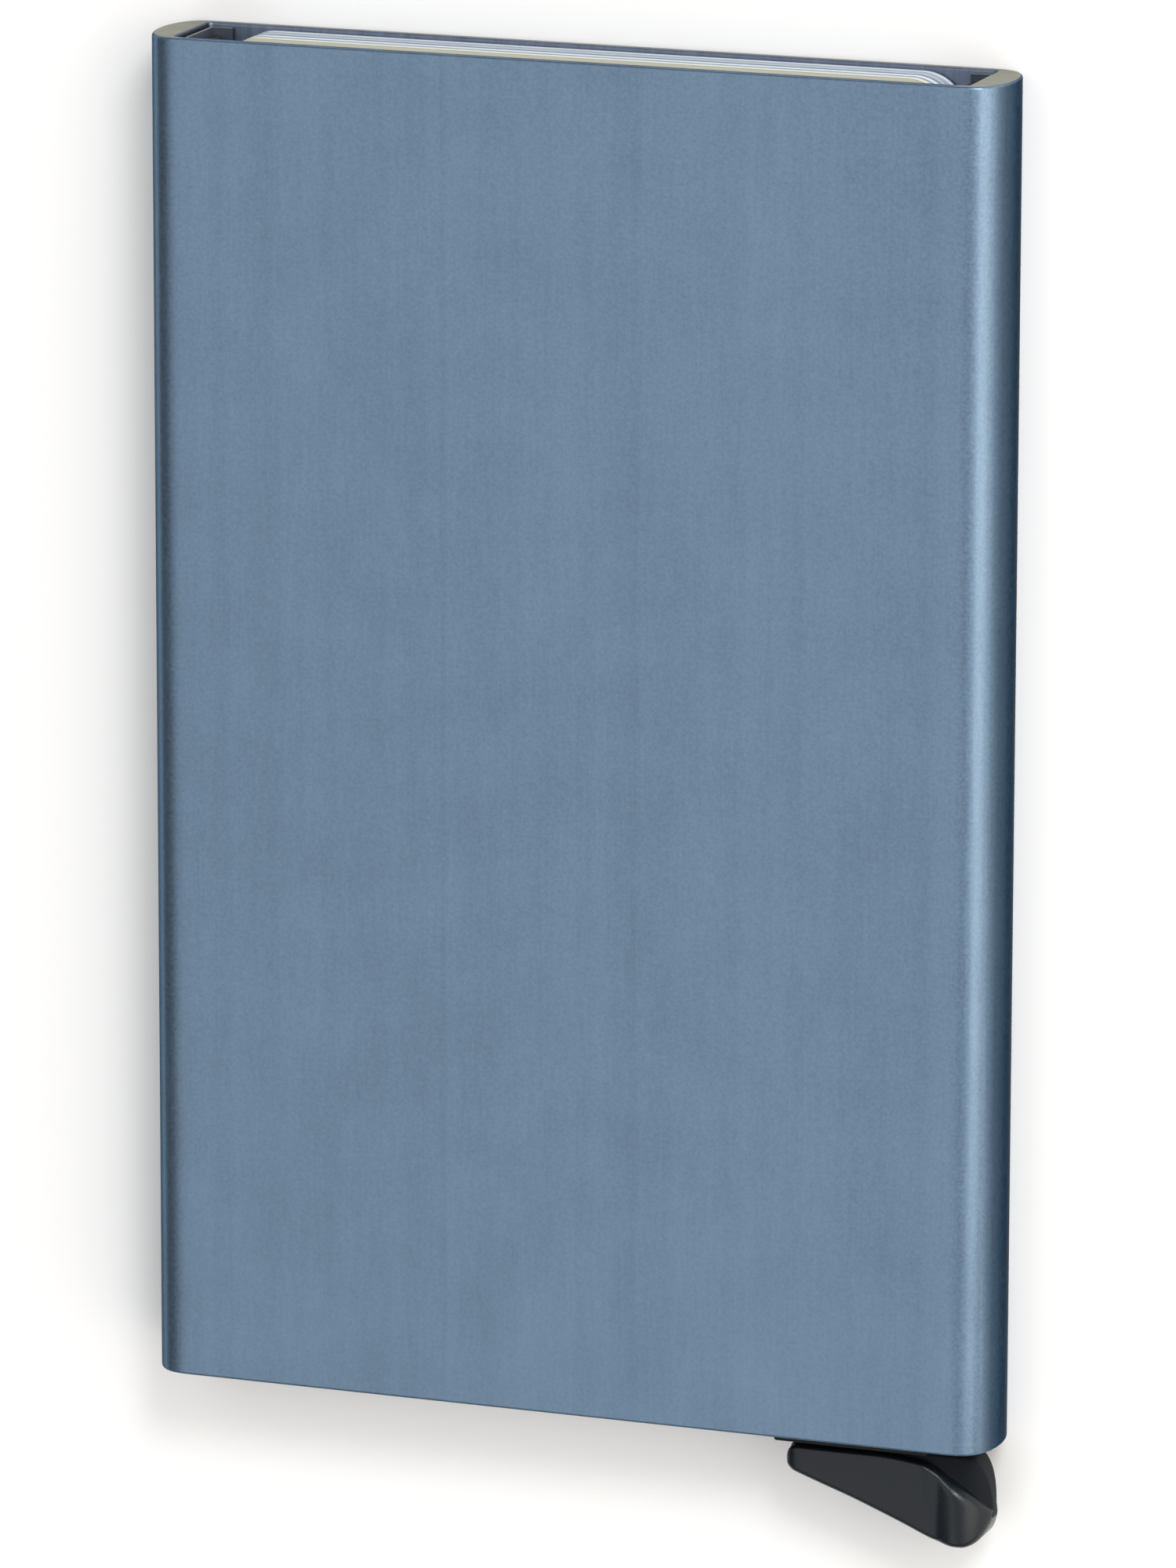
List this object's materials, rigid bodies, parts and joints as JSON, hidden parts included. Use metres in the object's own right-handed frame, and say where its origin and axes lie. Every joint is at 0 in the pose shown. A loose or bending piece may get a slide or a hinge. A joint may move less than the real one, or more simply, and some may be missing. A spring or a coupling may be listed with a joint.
{
  "type": "pop-up card holder",
  "caption": "Slim aluminium pop-up card holder: a flat extruded sleeve with rounded sides, with bank cards inside and a thumb lever below that fans the cards out of the top.",
  "frame": {"origin": "middle of the back face, which the holder lies on", "axes": "+X to the lever's side, +Y the way the cards come out, +Z from the back face to the front face"},
  "size_m": [0.063, 0.1041, 0.008],
  "materials": {
    "housing": "blue-grey satin anodised, fine grain along the extrusion",
    "base": "black, fine mould texture",
    "lever": "dark charcoal, smooth and matt",
    "pin": "ground",
    "spring": "bright drawn wire",
    "channel": "dark grey",
    "grip_strip": "black short pile",
    "card_white": "white, blank",
    "card_grey": "grey, blank",
    "card_blue": "bluish white, blank",
    "card_cream": "cream, blank"
  },
  "bodies": {
    "holder": {"housing": "housing", "base_frame": "base", "base_cover": "base", "pivot_pin": "pin", "return_spring": "spring", "strip_channel_left": "channel", "strip_channel_right": "channel", "grip_strip_left": "grip_strip", "grip_strip_right": "grip_strip"},
    "lever": {"lever": "lever"},
    "card_1": {"card_1": "card_white"},
    "card_2": {"card_2": "card_grey"},
    "card_3": {"card_3": "card_blue"},
    "card_4": {"card_4": "card_cream"}
  },
  "joints": [
    {"name": "lever_pivot", "type": "hinge", "parent": "holder", "child": "lever", "pos_m": [0.0236, -0.04445, 0.004], "axis": [0, 0, -1], "range_deg": [0, 45], "stiffness_Nm_per_rad": 0.012, "springref_deg": -34.38, "deforming": ["return_spring"]},
    {"name": "card_1_slide", "type": "slide", "parent": "holder", "child": "card_1", "axis": [0, 1, 0], "range_m": [0, 0.02357]},
    {"name": "card_2_slide", "type": "slide", "parent": "holder", "child": "card_2", "axis": [0, 1, 0], "range_m": [0, 0.02019]},
    {"name": "card_3_slide", "type": "slide", "parent": "holder", "child": "card_3", "axis": [0, 1, 0], "range_m": [0, 0.01681]},
    {"name": "card_4_slide", "type": "slide", "parent": "holder", "child": "card_4", "axis": [0, 1, 0], "range_m": [0, 0.01344]}
  ],
  "couplings": [
    {"joint": "card_1_slide", "follows": "lever_pivot", "m_per_rad": 0.03},
    {"joint": "card_2_slide", "follows": "lever_pivot", "m_per_rad": 0.0257},
    {"joint": "card_3_slide", "follows": "lever_pivot", "m_per_rad": 0.0214},
    {"joint": "card_4_slide", "follows": "lever_pivot", "m_per_rad": 0.0171}
  ]
}
